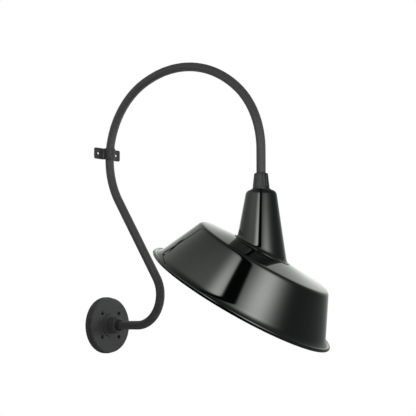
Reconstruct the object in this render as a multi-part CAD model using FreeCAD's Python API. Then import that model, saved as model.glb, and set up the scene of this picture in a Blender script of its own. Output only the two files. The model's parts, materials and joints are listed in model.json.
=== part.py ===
"""Gooseneck wall sconce with an angled reflector shade, every piece as its own solid.

Row frame: the origin is on the wall, at the centre of the round wall flange. +Z is up and -Y
points out from the wall, so a place n mm out from the wall has y = -n. Sizes are in millimetres.
"""
import FreeCAD
import Part
import math
import os

V = FreeCAD.Vector
Turn = FreeCAD.Rotation

# Steel tube of the arm and the bends it is made with
tube_od = 21.3
tube_wall = 2.3
lower_bend_radius = 73.5
lower_bend_turn = 123.5
straight_run = 234.0
loop_back_radius = 196.0
loop_back_turn = 98.0
loop_top_radius = 275.5
loop_top_turn = 68.0
loop_front_radius = 202.0
drop_run = 78.0

# Cast wall flange with its hub
flange_d = 139.7
flange_rim = 6.0
flange_step = 2.0
flange_depth = 16.5
flange_wall = 4.0
flange_edge_round = 2.5
rim_edge_round = 1.0
bolt_circle = 82.5
bolt_count = 4
bolt_hole_d = 5.6
bolt_recess_d = 9.6
bolt_recess_depth = 4.0
bolt_boss_d = 12.0
boss_ring_d = 57.0
boss_ring_height = 3.0
hub_base_d = 41.5
hub_nose_d = 38.5
hub_length = 25.5
hub_edge_round = 2.5
hub_root_round = 1.5
hub_stop = 1.5

# Rubber pieces at the wall
gasket_thick = 2.0
gasket_width = 10.0
seal_od = 29.0
seal_length = 6.5
seal_round = 2.0

# Pipe strap that ties the back of the loop to the wall
strap_thick = 3.0
strap_height = 28.0
strap_length = 90.0
strap_hole_spacing = 64.0
strap_hole_d = 6.5
strap_corner_round = 4.5
strap_root_round = 3.5
strap_rise = 12.5

# Fluted cap at the low end of the arm
cap_height = 36.5
cap_top_d = 31.5
cap_bottom_d = 39.5
cap_foot = 3.5
cap_socket_depth = 23.0
cap_top_round = 3.0
cap_foot_round = 0.8
flute_count = 16
flute_d = 5.0
flute_bite = 1.3

# Hollow threaded nipple, the washers and the nuts of the swivel
nipple_d = 16.6
nipple_bore = 11.0
nipple_grip = 15.0
swivel_gasket_d = 46.0
swivel_gasket_thick = 2.0
washer_d = 32.0
washer_thick = 1.5
nut_across_flats = 25.0
nut_thick = 6.0

# Shade: neck, bowl and the way they sit on each other
neck_top_d = 68.5
neck_taper = 9.6
neck_lean = 1.6
neck_length = 128.0
neck_round = 13.0
neck_crown_skirt = 1.0
neck_wall = 1.6
neck_foot_width = 6.0
neck_foot_thick = 1.2
neck_overrun = 58.0
neck_offset = 20.0
bowl_tilt = 31.0
shade_turn = 19.0
shade_d = 457.0
shoulder_d = 330.0
shoulder_height = 114.0
shoulder_round = 11.0
top_slope = 6.6
flare_reach = 11.0
flare_height = 13.0
flare_round = 28.0
bead_d = 9.0
bowl_sheet = 1.3

# Lampholder hung in the neck
bracket_thick = 1.5
bracket_width = 20.0
bracket_drop = 36.0
bracket_screw_edge = 5.0
socket_gap = 20.0
socket_d = 45.0
socket_height = 48.0
socket_low_round = 2.0
socket_top_round = 3.0
shell_bore = 26.8
shell_wall = 0.6
shell_length = 27.0
shell_lid = 1.0
contact_d = 11.0
contact_thick = 0.8
contact_gap = 1.0
contact_stud_d = 4.0

# Leads and small fasteners
lead_d = 2.8
lead_spread = 3.6
lead_bend = 6.0
tail_bend = 5.0
tail_run = 15.0
connector_d = 8.0
connector_tip_d = 5.6
connector_mouth_round = 0.6
connector_tip_round = 1.2
connector_length = 15.0
connector_overlap = 8.0
bushing_flange_d = 20.0
bushing_flange_thick = 1.2
bushing_grip = 8.0
bushing_wall = 1.6
bushing_edge_round = 0.4
set_screw_d = 5.0
set_screw_sink = 0.8
hex_key = 2.5
hex_depth = 2.2
screw_d = 4.0
screw_head_d = 8.0
screw_head_height = 2.4
screw_bite = 3.0
slot_width = 1.0
slot_depth = 1.1
ground_height = 27.0
ground_run = 15.0
lug_thick = 0.8
lug_wall = 0.6
lug_rim = 1.2
lug_gap = 0.3
terminal_spread = 14.5

# Clearances
thread_clearance = 0.05
running_clearance = 0.06
tail_clearance = 0.6

# Places that follow from the sizes above
tube_r = tube_od / 2
tube_bore_r = tube_r - tube_wall
nipple_r = nipple_d / 2
loop_front_turn = lower_bend_turn + 90 - loop_back_turn - loop_top_turn
bend = math.radians(lower_bend_turn)
flange_face = gasket_thick + flange_depth
flange_inside = flange_face - flange_wall
hub_nose = flange_face + boss_ring_height + hub_length
tube_start = flange_inside + hub_stop
bend_start = (tube_r - lower_bend_radius * math.sin(bend) - straight_run * math.cos(bend)
              + loop_back_radius * (1 - math.sin(bend)))
loop_back_z = (lower_bend_radius * (1 - math.cos(bend)) + straight_run * math.sin(bend)
               - loop_back_radius * math.cos(bend))
strap_z = loop_back_z + strap_rise
bolt_r = bolt_circle / 2


def at(n, z, x=0.0):
    """Point n mm out from the wall, at height z, x mm to the side."""
    return V(x, -n, z)


def rounded_wire(corners):
    """Closed wire in the X-Z plane through corners given as (x, z, rounding)."""
    count = len(corners)
    stops = []
    for i, (x, z, fillet) in enumerate(corners):
        here = V(x, 0, z)
        before = V(corners[i - 1][0], 0, corners[i - 1][1]) - here
        after = V(corners[(i + 1) % count][0], 0, corners[(i + 1) % count][1]) - here
        half = before.getAngle(after) / 2
        before.normalize()
        after.normalize()
        reach = fillet / math.tan(half)
        middle = here + (before + after).normalize() * (fillet / math.sin(half) - fillet) if fillet else None
        stops.append((here + before * reach, middle, here + after * reach))
    edges = []
    for i, (start, middle, end) in enumerate(stops):
        if middle:
            edges.append(Part.Arc(start, middle, end).toShape())
        following = stops[(i + 1) % count][0]
        if end.distanceToPoint(following) > 1e-6:
            edges.append(Part.LineSegment(end, following).toShape())
    return Part.Wire(edges)


def turned(corners, place=None):
    """Solid turned about its own Z axis from an outline of (radius, height, rounding) corners."""
    solid = Part.Face(rounded_wire(corners)).revolve(V(0, 0, 0), V(0, 0, 1), 360)
    if solid.Volume < 0:
        solid.reverse()
    if place:
        solid.Placement = place
    return solid


def ring(r_out, r_in, low, high, place=None, edge=0.0):
    """Plain turned ring between two heights, its outer top corner rounded by edge."""
    return turned([(r_in, low, 0), (r_out, low, 0), (r_out, high, edge), (r_in, high, 0)], place)


def rod(radius, start, end):
    """Round bar between two points."""
    return Part.makeCylinder(radius, (end - start).Length, start, end - start)


def block(low, high):
    """Box between two opposite corners."""
    size = high - low
    return Part.makeBox(size.x, size.y, size.z, low)


def hexagon(across, low, height, place=None):
    """Hexagonal bar on its own Z axis, with one pair of flats square to X."""
    corners = [V(across / math.sqrt(3), 0, low)]
    corners = [Turn(V(0, 0, 1), 30 + 60 * i).multVec(corners[0]) for i in range(6)]
    bar = Part.Face(Part.makePolygon(corners + corners[:1])).extrude(V(0, 0, height))
    if place:
        bar.Placement = place
    return bar


def swept(path, radius):
    """Round bar swept along a smooth wire, from its first point."""
    first = path.OrderedEdges[0]
    start = first.valueAt(first.FirstParameter)
    heading = first.tangentAt(first.FirstParameter)
    section = Part.Wire(Part.makeCircle(radius, start, heading))
    return path.makePipeShell([section], True, False)


def arm_edges(start_n, x=0.0):
    """Edges of the arm's centre line from start_n out of the wall to its low end, and that end."""
    bends = [(bend_start - start_n, 0), (lower_bend_radius, lower_bend_turn), (straight_run, 0),
             (loop_back_radius, -loop_back_turn), (loop_top_radius, -loop_top_turn),
             (loop_front_radius, -loop_front_turn), (drop_run, 0)]
    n, z, heading, edges = start_n, 0.0, 0.0, []
    for size, turn in bends:
        if turn:
            spoke = math.radians(heading) - math.copysign(math.pi / 2, turn)
            centre_n = n - size * math.cos(spoke)
            centre_z = z - size * math.sin(spoke)
            arc = [(centre_n + size * math.cos(spoke + math.radians(part * turn)),
                    centre_z + size * math.sin(spoke + math.radians(part * turn))) for part in (0, 0.5, 1)]
            edges.append(Part.Arc(*[at(*spot, x) for spot in arc]).toShape())
            n, z = arc[2]
            heading += turn
        else:
            end_n = n + size * math.cos(math.radians(heading))
            end_z = z + size * math.sin(math.radians(heading))
            edges.append(Part.LineSegment(at(n, z, x), at(end_n, end_z, x)).toShape())
            n, z = end_n, end_z
    return edges, n, z


def quarter(start, heading, towards, radius):
    """Quarter bend from start, leaving along heading and ending along towards; and its end."""
    end = start + heading * radius + towards * radius
    middle = start + towards * radius + (heading - towards) * (radius * math.sqrt(0.5))
    return Part.Arc(start, middle, end).toShape(), end


arm_path, stem_n, tube_end_z = arm_edges(tube_start)
wall_place = FreeCAD.Placement(V(0, 0, 0), Turn(V(1, 0, 0), 90))
stem_place = FreeCAD.Placement(at(stem_n, 0), Turn())
cap_top_z = tube_end_z + cap_socket_depth
cap_bottom_z = cap_top_z - cap_height
neck_top_z = cap_bottom_z - swivel_gasket_thick
swivel_nut_top = neck_top_z - neck_wall - 2 * washer_thick
bracket_top = swivel_nut_top - nut_thick
bracket_nut_top = bracket_top - bracket_thick
nipple_low = bracket_nut_top - nut_thick
socket_top = nipple_low - socket_gap
socket_low = socket_top - socket_height
shell_top = socket_low + shell_length


def slotted_screw(head_top, inward, bite=screw_bite, across=V(1, 0, 0)):
    """Pan-head screw: head from head_top, shank further along inward, slot along across."""
    seat = head_top + inward * screw_head_height
    screw = rod(screw_head_d / 2, head_top, seat).fuse(rod(screw_d / 2, seat, seat + inward * bite))
    side = inward.cross(across)
    corner = head_top - across * screw_head_d - side * (slot_width / 2)
    slot = Part.Face(Part.makePolygon([corner, corner + side * slot_width,
                                       corner + side * slot_width + inward * slot_depth,
                                       corner + inward * slot_depth, corner]))
    return screw.cut(slot.extrude(across * (2 * screw_head_d)))


def set_screw(tip, outward, length):
    """Headless screw with a hexagon socket, its tip on the tube and its socket at the outer end."""
    head = tip + outward * length
    turn = FreeCAD.Placement(head, Turn(V(0, 0, 1), outward))
    return rod(set_screw_d / 2, tip, head).cut(hexagon(hex_key, -hex_depth, hex_depth, turn))


def wall_flange():
    """Hollow round casting with a stepped rim, four screw bosses and the hub for the arm."""
    body_r = flange_d / 2 - flange_step
    rim_top = gasket_thick + flange_rim
    outline = [(0, gasket_thick, 0), (flange_d / 2, gasket_thick, 0), (flange_d / 2, rim_top, rim_edge_round),
               (body_r, rim_top, 0), (body_r, flange_face, flange_edge_round),
               (boss_ring_d / 2, flange_face, rim_edge_round),
               (boss_ring_d / 2, flange_face + boss_ring_height, rim_edge_round),
               (hub_base_d / 2, flange_face + boss_ring_height, hub_root_round),
               (hub_nose_d / 2, hub_nose, hub_edge_round), (0, hub_nose, 0)]
    casting = turned(outline, wall_place)
    hollow_r = body_r - flange_wall
    casting = casting.cut(ring(hollow_r, 0, 0, flange_inside, wall_place))
    for spot in bolt_spots():
        casting = casting.fuse(rod(bolt_boss_d / 2, spot + at(gasket_thick, 0), spot + at(flange_inside, 0)))
    for spot in bolt_spots():
        casting = casting.cut(rod(bolt_hole_d / 2, spot, spot + at(flange_face, 0)))
        casting = casting.cut(rod(bolt_recess_d / 2, spot + at(flange_face - bolt_recess_depth, 0),
                                  spot + at(flange_face, 0)))
    casting = casting.cut(rod(tube_r + thread_clearance, at(tube_start, 0), at(hub_nose, 0)))
    casting = casting.cut(rod(tube_bore_r, at(0, 0), at(tube_start, 0)))
    casting = casting.cut(rod(set_screw_d / 2 + thread_clearance, at(set_screw_n(), 0),
                              at(set_screw_n(), -hub_base_d)))
    return casting.cut(rod(screw_d / 2 + thread_clearance, at(flange_inside, ground_height),
                           at(flange_inside + screw_bite, ground_height)))


def bolt_spots():
    """Centres of the flange's screw holes on the wall plane, on their circle from 45 degrees."""
    turns = [math.radians(45 + 360 * i / bolt_count) for i in range(bolt_count)]
    return [at(0, bolt_r * math.sin(turn), bolt_r * math.cos(turn)) for turn in turns]


def set_screw_n():
    """Distance from the wall of the set screw under the hub."""
    return flange_face + boss_ring_height + hub_length / 2


def wall_gasket():
    """Flat rubber ring between the flange's rim and the wall, with ears round the screws."""
    gasket = ring(flange_d / 2, flange_d / 2 - gasket_width, 0, gasket_thick, wall_place)
    ear_r = bolt_boss_d / 2
    for spot in bolt_spots():
        outward = V(spot).normalize()
        ear = rod(ear_r, spot, spot + at(gasket_thick, 0))
        side = V(0, -1, 0).cross(outward) * ear_r
        reach = outward * (flange_d / 2 - gasket_width / 2 - bolt_r)
        web = Part.Face(Part.makePolygon([spot - side, spot + side, spot + side + reach,
                                          spot - side + reach, spot - side]))
        gasket = gasket.fuse([ear, web.extrude(at(gasket_thick, 0))])
    for spot in bolt_spots():
        gasket = gasket.cut(rod(bolt_hole_d / 2, spot, spot + at(gasket_thick, 0)))
    return gasket.removeSplitter()


def hub_seal():
    """Black rubber ring that closes the joint where the tube enters the hub."""
    place = FreeCAD.Placement(at(hub_nose, 0), wall_place.Rotation)
    return ring(seal_od / 2, tube_r + thread_clearance, 0, seal_length, place, seal_round)


def arm_tube():
    """One steel tube with four bends and two straight runs between its ends, open at both."""
    path = Part.Wire(arm_path)
    return swept(path, tube_r).cut(swept(path, tube_bore_r))


def wall_strap():
    """Pressed two-hole pipe strap: two flat ears on the wall and a saddle over the tube."""
    saddle_r = tube_r + thread_clearance + strap_thick
    saddle_n = tube_r + loop_back_radius - math.sqrt(loop_back_radius ** 2 - strap_rise ** 2)
    half = strap_length / 2
    low = strap_z - strap_height / 2
    band = block(V(-half, -strap_thick, 0), V(half, 0, strap_height))
    band = band.fuse(Part.makeCylinder(saddle_r, strap_height, V(0, -saddle_n, 0), V(0, 0, 1)))
    band = band.fuse(block(V(-saddle_r, -saddle_n, 0), V(saddle_r, 0, strap_height)))
    band = band.common(block(V(-half, -saddle_n - saddle_r, 0), V(half, 0, strap_height))).removeSplitter()
    roots = [edge for edge in band.Edges if edge.Length > strap_height * 0.99
             and abs(abs(edge.CenterOfMass.x) - saddle_r) < 0.01
             and abs(edge.CenterOfMass.y + strap_thick) < 0.01]
    band = band.makeFillet(strap_root_round, roots)
    corners = [edge for edge in band.Edges if abs(edge.Length - strap_thick) < 0.01
               and abs(abs(edge.CenterOfMass.x) - half) < 0.01]
    band = band.makeFillet(strap_corner_round, corners)
    band.translate(V(0, 0, low))
    for side in (-1, 1):
        hole = at(0, strap_z, side * strap_hole_spacing / 2)
        band = band.cut(rod(strap_hole_d / 2, hole, hole + at(strap_thick, 0)))
    return band.cut(tube_slot())


def tube_slot():
    """D-shaped bar bent along the loop's back: round over the tube's front, open towards the wall."""
    r = tube_r + thread_clearance
    left, right = at(tube_r, loop_back_z, -r), at(tube_r, loop_back_z, r)
    low_left, low_right = at(-tube_r, loop_back_z, -r), at(-tube_r, loop_back_z, r)
    outline = [Part.Arc(left, at(tube_r + r, loop_back_z), right).toShape(),
               Part.LineSegment(right, low_right).toShape(),
               Part.LineSegment(low_right, low_left).toShape(),
               Part.LineSegment(low_left, left).toShape()]
    centre = at(tube_r + loop_back_radius, loop_back_z)
    reach = math.degrees(math.asin((strap_rise + strap_height) / loop_back_radius))
    face = Part.Face(Part.Wire(outline))
    face.rotate(centre, V(1, 0, 0), reach)
    return face.revolve(centre, V(1, 0, 0), -2 * reach)


def stem_cap():
    """Cast cap on the low end of the tube: a tapered, fluted barrel over a plain foot."""
    taper = math.atan2((cap_bottom_d - cap_top_d) / 2, cap_height)
    cap = turned([(0, cap_bottom_z, 0), (cap_bottom_d / 2, cap_bottom_z, cap_foot_round),
                  (cap_top_d / 2, cap_top_z, cap_top_round), (0, cap_top_z, 0)], stem_place)
    flute_r = flute_d / 2
    for i in range(flute_count):
        foot_r = (cap_bottom_d / 2 - cap_foot * math.tan(taper)) + flute_r - flute_bite
        start = V(foot_r, 0, cap_bottom_z + cap_foot + flute_r)
        rise = V(-math.sin(taper), 0, math.cos(taper))
        groove = rod(flute_r, start, start + rise * cap_height).fuse(Part.makeSphere(flute_r, start))
        groove.rotate(V(0, 0, 0), V(0, 0, 1), 360 * (i + 0.5) / flute_count)
        groove.translate(at(stem_n, 0))
        cap = cap.cut(groove)
    cap = cap.cut(rod(tube_r + thread_clearance, at(stem_n, tube_end_z), at(stem_n, cap_top_z)))
    cap = cap.cut(rod(nipple_r + thread_clearance, at(stem_n, cap_bottom_z), at(stem_n, tube_end_z)))
    return cap.cut(rod(set_screw_d / 2 + thread_clearance, at(stem_n, cap_screw_z()),
                       at(stem_n - cap_bottom_d, cap_screw_z())))


def cap_screw_z():
    """Height of the set screw that locks the cap on the tube."""
    return tube_end_z + cap_socket_depth / 2


def cap_set_screw():
    """Set screw on the wall side of the cap, its tip on the tube."""
    radius_there = cap_bottom_d / 2 - (cap_screw_z() - cap_bottom_z) * (cap_bottom_d - cap_top_d) / 2 / cap_height
    length = radius_there - flute_bite - set_screw_sink - tube_r
    return set_screw(at(stem_n - tube_r, cap_screw_z()), V(0, 1, 0), length)


def hub_set_screw():
    """Set screw under the hub, its tip on the tube."""
    length = (hub_base_d + hub_nose_d) / 4 - set_screw_sink - tube_r
    return set_screw(at(set_screw_n(), -tube_r), V(0, 0, -1), length)


def stem_nipple():
    """Hollow threaded pipe that carries the shade and the lampholder from the end of the arm."""
    return ring(nipple_r, nipple_bore / 2, nipple_low, tube_end_z + nipple_grip, stem_place)


def washer(top):
    """Flat washer on the nipple."""
    return ring(washer_d / 2, nipple_r + thread_clearance, top - washer_thick, top, stem_place)


def lock_nuts():
    """Two hexagon nuts on the nipple, above and below the lampholder's bracket."""
    nuts = []
    for top in (swivel_nut_top, bracket_nut_top):
        nut = hexagon(nut_across_flats, top - nut_thick, nut_thick, stem_place)
        nuts.append(nut.cut(rod(nipple_r + thread_clearance, at(stem_n, top - nut_thick), at(stem_n, top))))
    return Part.makeCompound(nuts)


def neck_form(inset, reach):
    """Solid inside the neck's outer surface moved in by inset, from the top down by reach."""
    slope = math.tan(math.radians(neck_taper))
    shrink = inset / math.cos(math.radians(neck_taper))
    rounding = max(neck_round - inset, 0)
    crown = neck_round + neck_crown_skirt

    def radius(depth):
        return neck_top_d / 2 + depth * slope - shrink

    top = turned([(0, -crown, 0), (radius(crown), -crown, 0), (radius(inset), -inset, rounding),
                  (0, -inset, 0)], FreeCAD.Placement(at(stem_n, neck_top_z), Turn()))
    shift = (reach - crown) * math.tan(math.radians(neck_lean))
    upper = Part.Wire(Part.makeCircle(radius(crown), at(stem_n, neck_top_z - crown)))
    lower = Part.Wire(Part.makeCircle(radius(reach), at(stem_n - shift, neck_top_z - reach)))
    return top.fuse(Part.makeLoft([upper, lower], True, True))


bowl_turn = Turn(V(1, 0, 0), bowl_tilt)
apex_height = shoulder_height + shoulder_d / 2 * math.tan(math.radians(top_slope))
seat = V(0, neck_offset, apex_height - neck_offset * math.tan(math.radians(top_slope)))
bowl_place = FreeCAD.Placement(at(stem_n, neck_top_z - neck_length) - bowl_turn.multVec(seat), bowl_turn)
neck_reach = neck_length + neck_overrun


def bowl_cover(lift):
    """Solid below the bowl's shallow conical top, raised by lift, to trim the neck with."""
    edge_r = shoulder_d / 2
    return turned([(0, 0, 0), (edge_r, 0, 0), (edge_r, shoulder_height + lift, 0),
                   (0, apex_height + lift, 0)], bowl_place)


def shade_neck():
    """Conical steel neck with a rounded, closed top and a turned-out foot that sits on the bowl."""
    foot = neck_form(-neck_foot_width, neck_reach).common(bowl_cover(neck_foot_thick))
    neck = neck_form(0, neck_reach).fuse(foot).cut(bowl_cover(0)).cut(neck_form(neck_wall, neck_reach))
    hole = rod(nipple_r + running_clearance, at(stem_n, neck_top_z - neck_length / 2), at(stem_n, neck_top_z))
    return neck.cut(hole).removeSplitter()


def shade_bowl():
    """Spun steel bowl: shallow conical top, round shoulder, straight wall, flared lip and a rolled bead."""
    bead_r = bead_d / 2
    bead = (shade_d / 2 - bead_r, bead_r)
    line = [(0, apex_height), (shoulder_d / 2, shoulder_height), (bead[0] - flare_reach, flare_height), bead]
    roundings = [0, shoulder_round, flare_round, 0]
    inner = inset_line(line, bowl_sheet)
    outline = [(r, z, fillet) for (r, z), fillet in zip(line, roundings)]
    inner_roundings = [0, shoulder_round - bowl_sheet, flare_round + bowl_sheet, 0]
    outline += [(r, z, fillet) for (r, z), fillet in reversed(list(zip(inner, inner_roundings)))]
    roll = Part.makeTorus(bead[0], bead_r)
    roll.translate(V(0, 0, bead_r))
    roll.Placement = bowl_place.multiply(roll.Placement)
    return turned(outline, bowl_place).fuse(roll).cut(neck_form(neck_wall, neck_reach)).removeSplitter()


def inset_line(line, depth):
    """The (radius, height) line moved in and down by depth, its corners kept on the offset sides."""
    sides = []
    for (r0, z0), (r1, z1) in zip(line, line[1:]):
        length = math.hypot(r1 - r0, z1 - z0)
        nr, nz = (z1 - z0) / length * depth, -(r1 - r0) / length * depth
        sides.append(((r0 + nr, z0 + nz), (r1 + nr, z1 + nz)))
    moved = [(0.0, sides[0][0][1] - sides[0][0][0] * (sides[0][1][1] - sides[0][0][1])
              / (sides[0][1][0] - sides[0][0][0]))]
    for ((ar, az), (br, bz)), ((cr, cz), (dr, dz)) in zip(sides, sides[1:]):
        cross = (br - ar) * (dz - cz) - (bz - az) * (dr - cr)
        share = ((cr - ar) * (dz - cz) - (cz - az) * (dr - cr)) / cross
        moved.append((ar + share * (br - ar), az + share * (bz - az)))
    return moved + [sides[-1][1]]


def socket_bracket():
    """Bent steel strap: a plate held between the two nuts and two legs down the lampholder's sides."""
    leg_in = socket_d / 2 + thread_clearance
    leg_out = leg_in + bracket_thick
    half = bracket_width / 2
    plate = block(at(stem_n + half, bracket_nut_top, -leg_out), at(stem_n - half, bracket_top, leg_out))
    leg_low = bracket_top - bracket_drop
    strap = plate.fuse([block(at(stem_n + half, leg_low, low), at(stem_n - half, bracket_top, high))
                        for low, high in ((-leg_out, -leg_in), (leg_in, leg_out))])
    strap = strap.cut(rod(nipple_r + thread_clearance, at(stem_n, bracket_nut_top), at(stem_n, bracket_top)))
    for side in (-1, 1):
        strap = strap.cut(rod(screw_d / 2 + thread_clearance, at(stem_n, bracket_screw_z(), side * leg_in),
                              at(stem_n, bracket_screw_z(), side * leg_out)))
    return strap.removeSplitter()


def bracket_screw_z():
    """Height of the two screws that hold the lampholder between the bracket's legs."""
    return bracket_top - bracket_drop + bracket_screw_edge


def bracket_screws():
    """Two screws through the bracket's legs into the lampholder."""
    head = socket_d / 2 + thread_clearance + bracket_thick + screw_head_height
    return Part.makeCompound([slotted_screw(at(stem_n, bracket_screw_z(), side * head), V(-side, 0, 0),
                                            bracket_thick + screw_bite, V(0, 0, 1)) for side in (-1, 1)])


def socket_body():
    """Glazed porcelain lampholder with a bore for its screw shell and holes for its screws."""
    body = turned([(0, socket_low, 0), (socket_d / 2, socket_low, socket_low_round),
                   (socket_d / 2, socket_top, socket_top_round), (0, socket_top, 0)], stem_place)
    shell_r = shell_bore / 2 + shell_wall + thread_clearance
    body = body.cut(rod(shell_r, at(stem_n, socket_low), at(stem_n, shell_top)))
    body = body.cut(rod(contact_stud_d / 2 + thread_clearance, at(stem_n, shell_top), at(stem_n, socket_top)))
    for side in (-1, 1):
        hole = at(stem_n, bracket_screw_z(), side * (socket_d / 2 - screw_bite))
        body = body.cut(rod(screw_d / 2 + thread_clearance, hole, hole + V(side * screw_bite * 2, 0, 0)))
        spot = terminal_spot(side)
        body = body.cut(rod(screw_d / 2 + thread_clearance, spot, spot - V(0, 0, screw_bite)))
    return body


def screw_shell():
    """Threaded metal shell of the lampholder, drawn here as a plain cup with a hole in its lid."""
    r_out = shell_bore / 2 + shell_wall
    lid_r = contact_d / 2 + contact_gap
    return turned([(shell_bore / 2, socket_low, 0), (r_out, socket_low, 0), (r_out, shell_top, 0),
                   (lid_r, shell_top, 0), (lid_r, shell_top - shell_lid, 0),
                   (shell_bore / 2, shell_top - shell_lid, 0)], stem_place)


def centre_contact():
    """Brass contact in the middle of the lampholder, with the stud that holds it in the porcelain."""
    stud = rod(contact_stud_d / 2, at(stem_n, shell_top), at(stem_n, socket_top + contact_thick))
    disc = rod(contact_d / 2, at(stem_n, shell_top - contact_thick), at(stem_n, shell_top))
    return stud.fuse(disc)


def terminal_spot(side):
    """Centre of a terminal screw on the lampholder's top."""
    return at(stem_n - screw_head_d / 2 - lead_d / 2, socket_top, side * terminal_spread)


def terminal_screws():
    """Two terminal screws on the lampholder, one brass-coloured and one silver-coloured on the real thing."""
    down = V(0, 0, -1)
    return Part.makeCompound([slotted_screw(terminal_spot(side) - down * screw_head_height, down)
                              for side in (-1, 1)])


def supply_lead(side):
    """Insulated lead from its terminal, up the nipple, round the whole arm and out behind the flange."""
    x = side * lead_spread / 2
    outward = V(side, 0, 0)
    flange_end = flange_inside - bushing_flange_thick
    bend_in, corner = quarter(at(flange_end, 0, x), V(0, 1, 0), outward, tail_bend)
    tail = Part.LineSegment(corner, corner + outward * tail_run).toShape()
    edges, _, low = arm_edges(flange_end, x)
    turn_z = nipple_low - lead_bend / 2
    down = V(0, 0, -1)
    drop = Part.LineSegment(at(stem_n, low, x), at(stem_n, turn_z, x)).toShape()
    first, spot = quarter(at(stem_n, turn_z, x), down, outward, lead_bend)
    second, spot = quarter(spot, outward, down, lead_bend)
    last = Part.LineSegment(spot, V(spot.x, spot.y, socket_top)).toShape()
    return swept(Part.Wire(Part.__sortEdges__([tail, bend_in] + edges + [drop, first, second, last])), lead_d / 2)


def connector(start, along):
    """Twist-on wire connector over the bare end of a lead, wider at its mouth."""
    place = FreeCAD.Placement(start, Turn(V(0, 0, 1), along))
    body = turned([(0, 0, 0), (connector_d / 2, 0, connector_mouth_round),
                   (connector_tip_d / 2, connector_length, connector_tip_round), (0, connector_length, 0)], place)
    return body.cut(rod(lead_d / 2 + thread_clearance, start, start + along * connector_overlap))


def wire_connectors():
    """Three connectors: one on each supply lead's tail and one on the ground lead."""
    tail_n = flange_inside - bushing_flange_thick - tail_bend
    reach = lead_spread / 2 + tail_bend + tail_run - connector_overlap
    shapes = [connector(at(tail_n, 0, side * reach), V(side, 0, 0)) for side in (-1, 1)]
    shapes.append(connector(ground_start() + V(0, 0, ground_run - connector_overlap), V(0, 0, 1)))
    return Part.makeCompound(shapes)


def ground_start():
    """Point where the ground lead leaves its lug, past the rim of the lug's eye."""
    return at(flange_inside - connector_d / 2 - tail_clearance, ground_height + screw_head_d / 2 + lug_rim)


def ground_lead():
    """Short green lead from its lug up behind the flange."""
    return rod(lead_d / 2, ground_start(), ground_start() + V(0, 0, ground_run))


def ground_lug():
    """Tinned ring lug under the ground screw, with a barrel crimped on the lead."""
    back = at(flange_inside, ground_height)
    front = at(flange_inside - lug_thick, ground_height)
    eye = rod(screw_head_d / 2 + lug_rim, back, front)
    barrel_end = ground_start() + V(0, 0, lead_d)
    barrel = rod(lead_d / 2 + lug_wall, ground_start(), barrel_end)
    tongue = block(V(-lead_d / 2, back.y, ground_height + screw_head_d / 2 + lug_gap),
                   V(lead_d / 2, ground_start().y, barrel_end.z))
    lug = eye.fuse([barrel, tongue])
    lug = lug.cut(rod(screw_d / 2 + thread_clearance, back, front))
    return lug.cut(rod(lead_d / 2 + thread_clearance, ground_start(), barrel_end))


def ground_screw():
    """Green slotted screw that fixes the ground lug to the inside of the flange."""
    head = at(flange_inside - lug_thick - screw_head_height, ground_height)
    return slotted_screw(head, V(0, -1, 0), lug_thick + screw_bite)


def wire_bushing():
    """Plastic bush pressed into the wall end of the tube so that its edge can't cut the leads."""
    place = FreeCAD.Placement(at(0, 0), wall_place.Rotation)
    r_out = tube_bore_r - thread_clearance
    r_in = r_out - bushing_wall
    flange_low = flange_inside - bushing_flange_thick
    return turned([(r_in, flange_low, 0), (bushing_flange_d / 2, flange_low, bushing_edge_round),
                   (bushing_flange_d / 2, flange_inside, 0), (r_out, flange_inside, 0),
                   (r_out, tube_start + bushing_grip, 0), (r_in, tube_start + bushing_grip, 0)], place)


def turned_to_rest(shape):
    """The shade as it hangs at rest, turned on its swivel from square to the wall."""
    shape.rotate(at(stem_n, 0), V(0, 0, 1), shade_turn)
    return shape


pieces = {
    "wall_flange": wall_flange(),
    "wall_gasket": wall_gasket(),
    "hub_seal": hub_seal(),
    "hub_set_screw": hub_set_screw(),
    "wire_bushing": wire_bushing(),
    "ground_screw": ground_screw(),
    "ground_lug": ground_lug(),
    "ground_lead": ground_lead(),
    "wire_connectors": wire_connectors(),
    "live_lead": supply_lead(1),
    "neutral_lead": supply_lead(-1),
    "arm_tube": arm_tube(),
    "wall_strap": wall_strap(),
    "stem_cap": stem_cap(),
    "cap_set_screw": cap_set_screw(),
    "stem_nipple": stem_nipple(),
    "swivel_gasket": ring(swivel_gasket_d / 2, nipple_r + thread_clearance, neck_top_z, cap_bottom_z, stem_place),
    "friction_washer": washer(neck_top_z - neck_wall),
    "clamp_washer": washer(neck_top_z - neck_wall - washer_thick),
    "lock_nuts": lock_nuts(),
    "socket_bracket": socket_bracket(),
    "bracket_screws": bracket_screws(),
    "socket_body": socket_body(),
    "screw_shell": screw_shell(),
    "centre_contact": centre_contact(),
    "terminal_screws": terminal_screws(),
    "shade_neck": turned_to_rest(shade_neck()),
    "shade_bowl": turned_to_rest(shade_bowl()),
}

os.makedirs("parts", exist_ok=True)
for node, shape in pieces.items():
    shape.exportStep("parts/" + node + ".step")
    box = shape.BoundBox
    print(f"{node:16s} solids {len(shape.Solids)} valid {shape.isValid()} volume {shape.Volume:10.1f} "
          f"z {box.ZMin:7.1f} {box.ZMax:7.1f} y {box.YMin:7.1f} {box.YMax:7.1f}")
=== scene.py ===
"""Gooseneck wall sconce with an angled reflector shade, dressed for its photograph.

The pieces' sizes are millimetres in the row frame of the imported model: the origin on the wall at the
middle of the flange, +Z up, -Y out from the wall. piece() turns them into Blender's metres.
"""
import bmesh
import bpy
import json
import math
import numpy as np
from mathutils import Matrix


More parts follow.
